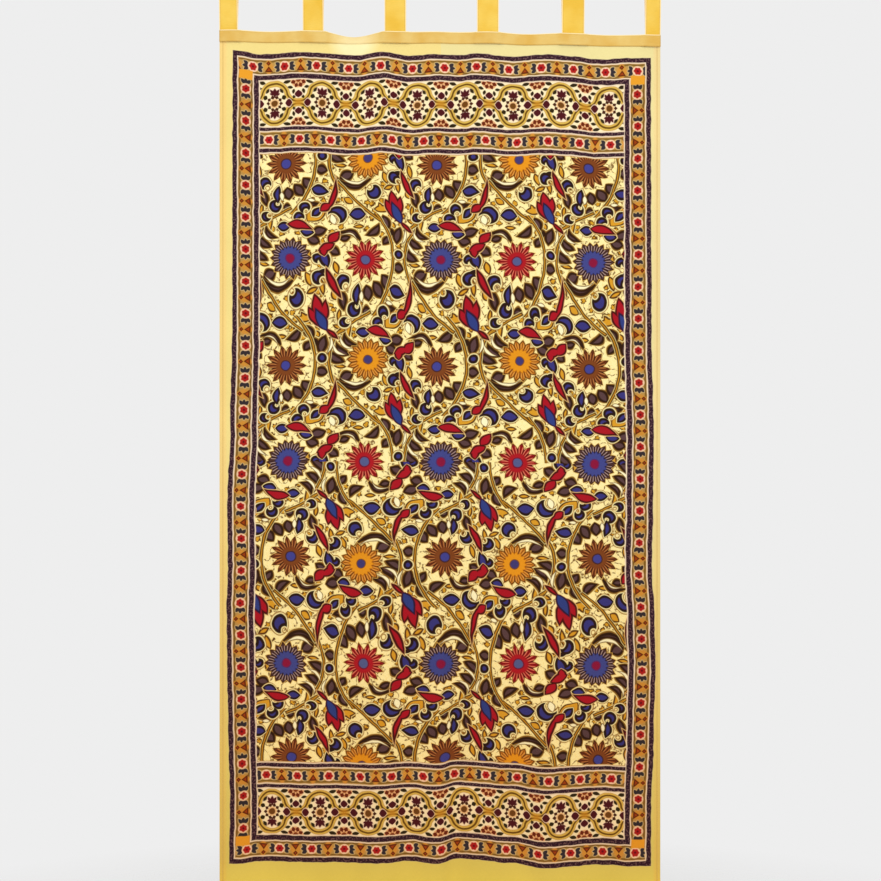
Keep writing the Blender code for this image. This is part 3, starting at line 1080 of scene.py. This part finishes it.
def plain_cotton(name, pale, deep, rim, groove_at):
    """Plain yellow cotton on the strip map, whose first coordinate is the way in from the nearest edge in mm."""
    material, shader = new_cotton(name, 0.86, 0.05)
    start = Strand(shader.inputs["Base Color"])
    strip = start.node("ShaderNodeUVMap", {"uv_map": "strip"}, {})
    place = start.object_place()
    colour = place.cloudy(16.0, 2.0, "3D").times_plus(3.0, -1.0).blend(pale, deep)
    edge = strip.dot((1.0, 0.0, 0.0))
    # Painted shade along the stitched groove
    groove = abs(edge - groove_at * MILLIMETRES).inside(0.5, 1.2) * 0.5
    colour = groove.blend(colour, dye(186, 140, 56))
    # Painted highlight: the heading is paler over the slack bay, which leans back to the light
    slack_highlight = place.distance_to((-0.215, 0.0, -0.115)).inside(0.045, 0.04) * 0.6
    colour = slack_highlight.blend(colour, dye(252, 238, 184))
    # Painted highlight: a pale rim along the strip's rounded edges, the heading's top and the tabs' long edges
    colour = (edge.inside(1.9, 1.0) * 0.9).blend(colour, rim)
    thread = place.scaled((90.0, 90.0, 900.0)).cloudy(1.0, 1.0, "3D")
    colour.tinted(thread * 0.14 + 0.93).feeds(shader, "Base Color")
    thread.bumps(shader, 0.3, 0.0005)
    return material


heading_cotton = plain_cotton(
    "heading_cotton", dye(228, 196, 117), dye(218, 174, 84), dye(253, 236, 184), HEADING_STITCH
)
reaches = (STEP_CLEARANCE, STEP_CLEARANCE + STEP_RUN)
heading_steps = {tab.x + sign * (tab.width / 2 + reach) for tab, reach, sign in product(TABS, reaches, (-1, 1))}
inner_steps = {x for x in heading_steps if abs(x) < half_width - 0.002}
heading_columns = filled_in(sorted({-half_width, half_width} | inner_steps), HEADING_COLUMN_PITCH)
band_rows = filled_in([*BAND_EDGES, *(HEADING_HEIGHT - step for step in BAND_EDGES[::-1])], BAND_EDGES[-1])
heading_band = sewn_sheet(
    "heading_band_cloth", heading_columns, band_rows, heading_point, {"strip": heading_strip}, heading_cotton
)
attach(heading_band, "root")
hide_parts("heading_band")

# Tabs: six straps of the same plain cotton, each folded over the rod's place, with both its ends tucked between the
# panel and the heading. Their long edges are turned in and stitched.
ROD_RADIUS = 0.014
TAB_TUCK = 0.024
TAB_ARC_STEPS = 10
TAB_LEG_PITCH = 0.005
TAB_THICKNESS = 0.0010
TAB_STITCH = 0.0034
TAB_PUCKER = Swell(0.0003, 0.02, 3.0, 9.1)
TAB_COLUMN_PITCH = 0.006
TAB_EDGES = (0.0, 0.0005, 0.0012, 0.0022, 0.0034, 0.0052)


def tangent_angle(foot, rod, radius, direction):
    """Where a straight leg from this foot meets the rod, as an angle about it."""
    reach = foot - rod
    return math.atan2(reach.y, reach.x) + direction * math.acos(radius / reach.length)


def tab_run(tab):
    """The middle line of a tab's cloth in Y and Z, from its front end over the rod to its back end."""
    radius = ROD_RADIUS + TAB_THICKNESS / 2
    rod = Vector((0.0, -ROD_RADIUS))
    front = Vector((-2 * LAYER, tab.edge_z))
    back = Vector((-LAYER, tab.edge_z))
    start = tangent_angle(front, rod, radius, -1) + math.tau
    end = tangent_angle(back, rod, radius, 1)
    tuck = Vector((0.0, TAB_TUCK))
    stops = [front - tuck, front]
    for step in range(TAB_ARC_STEPS + 1):
        angle = between(start, end, step / TAB_ARC_STEPS)
        stops.append(rod + Vector((math.cos(angle), math.sin(angle))) * radius)
    stops += [back, back - tuck]
    run = [stops[0]]
    for low, high in zip(stops, stops[1:]):
        steps = max(1, math.ceil((high - low).length / TAB_LEG_PITCH))
        run += [low.lerp(high, (step + 1) / steps) for step in range(steps)]
    return run


def tab_maker(tab, run):
    """A function that lays a point of the tab's cloth, and one that gives its strip map."""

    def middle_at(x, number):
        y, z = run[number]
        if z <= tab.edge_z:
            return in_front(x, edge_height(x) - z, -y)
        follow = eased((-2 * ROD_RADIUS - z) / (-2 * ROD_RADIUS - tab.edge_z))
        return Vector((x, y + follow * cloth_point(x, 0.0).y, z))

    def lay(across, number, side):
        x = tab.x + across
        before = run[max(number - 1, 0)]
        after = run[min(number + 1, len(run) - 1)]
        along = (after - before).normalized()
        outward = Vector((0.0, -along.y, along.x))
        thick = turned_edge(tab.width / 2 - abs(across), side, TAB_STITCH) * TAB_THICKNESS / COTTON
        return middle_at(x, number) + outward * (thick + raised(TAB_PUCKER, x, number))

    def strip(across, number, side, rim):
        return (tab.width / 2 - abs(across)) * MILLIMETRES, number * TAB_LEG_PITCH * MILLIMETRES

    return lay, strip


tab_cotton = plain_cotton("tab_cotton", dye(240, 202, 92), dye(232, 186, 66), dye(254, 230, 178), TAB_STITCH)
tab_pieces = []
for number, tab in enumerate(TABS, start=1):
    run = tab_run(tab)
    lay, strip = tab_maker(tab, run)
    tab_edges = [-tab.width / 2 + step for step in TAB_EDGES]
    tab_columns = filled_in(tab_edges + [-x for x in tab_edges[::-1]], TAB_COLUMN_PITCH)
    piece = sewn_sheet(f"tab_{number}_cloth", tab_columns, range(len(run)), lay, {"strip": strip}, tab_cotton)
    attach(piece, "root")
    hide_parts(f"tab_{number}")
    tab_pieces.append((tab, piece, run, lay))

# Stitching: rows of yellow thread that hold the panel's hems, both edges of the heading and the tabs' long edges. Each
# stitch is a short spindle pressed into the cloth.
STITCH_PITCH = 0.0050
STITCH_LONG = 0.0019
STITCH_THICK = 0.00032
HEM_STITCH = 0.0080
HEM_ROW_START = HEADING_HEIGHT + 0.002
HEADING_ROW_INSET = 0.003

thread_cotton, thread_shader = new_cotton("stitching_thread", 0.6, 0.1)
twist = Strand(thread_shader.inputs["Base Color"]).object_place().cloudy(900.0, 2.0, "3D")
twist.times_plus(2.0, -0.5).blend(dye(252, 226, 150), dye(214, 170, 84)).feeds(thread_shader, "Base Color")

spindle = bpy.data.meshes.new("spindle")
bm = bmesh.new()
bmesh.ops.create_uvsphere(bm, u_segments=6, v_segments=4, radius=1.0)
bmesh.ops.scale(bm, verts=bm.verts, vec=(STITCH_THICK, STITCH_THICK, STITCH_LONG))
bm.to_mesh(spindle)
bm.free()


def stitching(name, paths):
    """A spindle of thread in the middle of each step of these paths on the cloth's face."""
    bm = bmesh.new()
    for start, end in chain.from_iterable(zip(path, path[1:]) for path in paths):
        turn = (end - start).to_track_quat("Z", "Y").to_matrix().to_4x4()
        stitch = spindle.copy()
        stitch.transform(Matrix.Translation((start + end) / 2) @ turn)
        bm.from_mesh(stitch)
        bpy.data.meshes.remove(stitch)
    piece = finished(name, bm, thread_cotton)
    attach(piece, "root")
    return piece


def stitch_places(start, end):
    count = round((end - start) / STITCH_PITCH)
    return [between(start, end, step / count) for step in range(count + 1)]


hem_inset = half_width - HEM_STITCH
hem_paths = []
for x in (-hem_inset, hem_inset):
    drops = stitch_places(HEM_ROW_START, panel_length(x) - HEM_STITCH)
    hem_paths.append([panel_point(x, drop / panel_length(x), 1) for drop in drops])
foot_places = stitch_places(-hem_inset, hem_inset)
hem_paths.append([panel_point(x, 1.0 - HEM_STITCH / panel_length(x), 1) for x in foot_places])
hem_stitching = stitching("hem_stitching", hem_paths)

heading_places = stitch_places(HEADING_ROW_INSET - half_width, half_width - HEADING_ROW_INSET)
heights = (HEADING_STITCH, HEADING_HEIGHT - HEADING_STITCH)
heading_paths = [[heading_point(x, height, 1) for x in heading_places] for height in heights]
heading_stitching = stitching("heading_stitching", heading_paths)

for number, (tab, piece, run, lay) in enumerate(tab_pieces, start=1):
    shown = [step for step, point in enumerate(run) if point.y > tab.edge_z]
    inset = tab.width / 2 - TAB_STITCH
    paths = [[lay(across, step, 1) for step in shown] for across in (-inset, inset)]
    tab_stitching = stitching(f"tab_{number}_stitching", paths)
    length = sum((after - before).length for before, after in zip(run, run[1:]))

# Studio: a pale floor that fades into the room, soft daylight from above and in front, and a level camera
FLOOR_HEIGHT = -2.55
FLOOR_RADIUS = 6.0
FLOOR_FADE = (2.2, 0.9)
floor_material, floor_shader = new_cotton("pale_floor", 0.9, 0.0)
bm = bmesh.new()
bmesh.ops.create_circle(bm, cap_ends=True, segments=96, radius=FLOOR_RADIUS)
bmesh.ops.translate(bm, verts=bm.verts, vec=(0.0, 0.0, FLOOR_HEIGHT))
floor = finished("floor", bm, floor_material)
floor_shader.inputs["Base Color"].default_value = (0.80, 0.80, 0.80, 1.0)
floor_away = Strand(floor_shader.inputs["Alpha"]).object_place().distance_to((0.0, 0.0, FLOOR_HEIGHT))
floor_away.ramp(*FLOOR_FADE).feeds(floor_shader, "Alpha")

ROOM_LIGHT = 0.855
world = bpy.data.worlds.new("room")
world.use_nodes = True
background = world.node_tree.nodes["Background"]
background.inputs["Color"].default_value = (ROOM_LIGHT, ROOM_LIGHT, ROOM_LIGHT, 1.0)
background.inputs["Strength"].default_value = 1.0
bpy.context.scene.world = world
bpy.context.scene.view_settings.view_transform = "Standard"

LIGHT_PLACE = Vector((0.1, -4.4, 1.6))
LIGHT_TARGET = Vector((0.05, 0.0, -0.9))
light = bpy.data.lights.new("key_light", "AREA")
light.size = 1.6
light.energy = 74.0
light_object = linked("key_light", light)
light_object.location = LIGHT_PLACE
light_object.rotation_euler = (LIGHT_TARGET - LIGHT_PLACE).to_track_quat("-Z", "Y").to_euler()

CAMERA_DISTANCE = 5.0
PICTURE_SQUARES = 881
VIEW_MIDDLE = (0.00125, -1.1295)
camera = bpy.data.cameras.new("camera")
camera.lens = camera.sensor_width * CAMERA_DISTANCE / (PICTURE_SQUARES * CHART_SQUARE)
camera_object = linked("camera", camera)
camera_object.location = (VIEW_MIDDLE[0], -CAMERA_DISTANCE, VIEW_MIDDLE[1])
camera_object.rotation_euler = (math.pi / 2, 0.0, 0.0)
bpy.context.scene.camera = camera_object
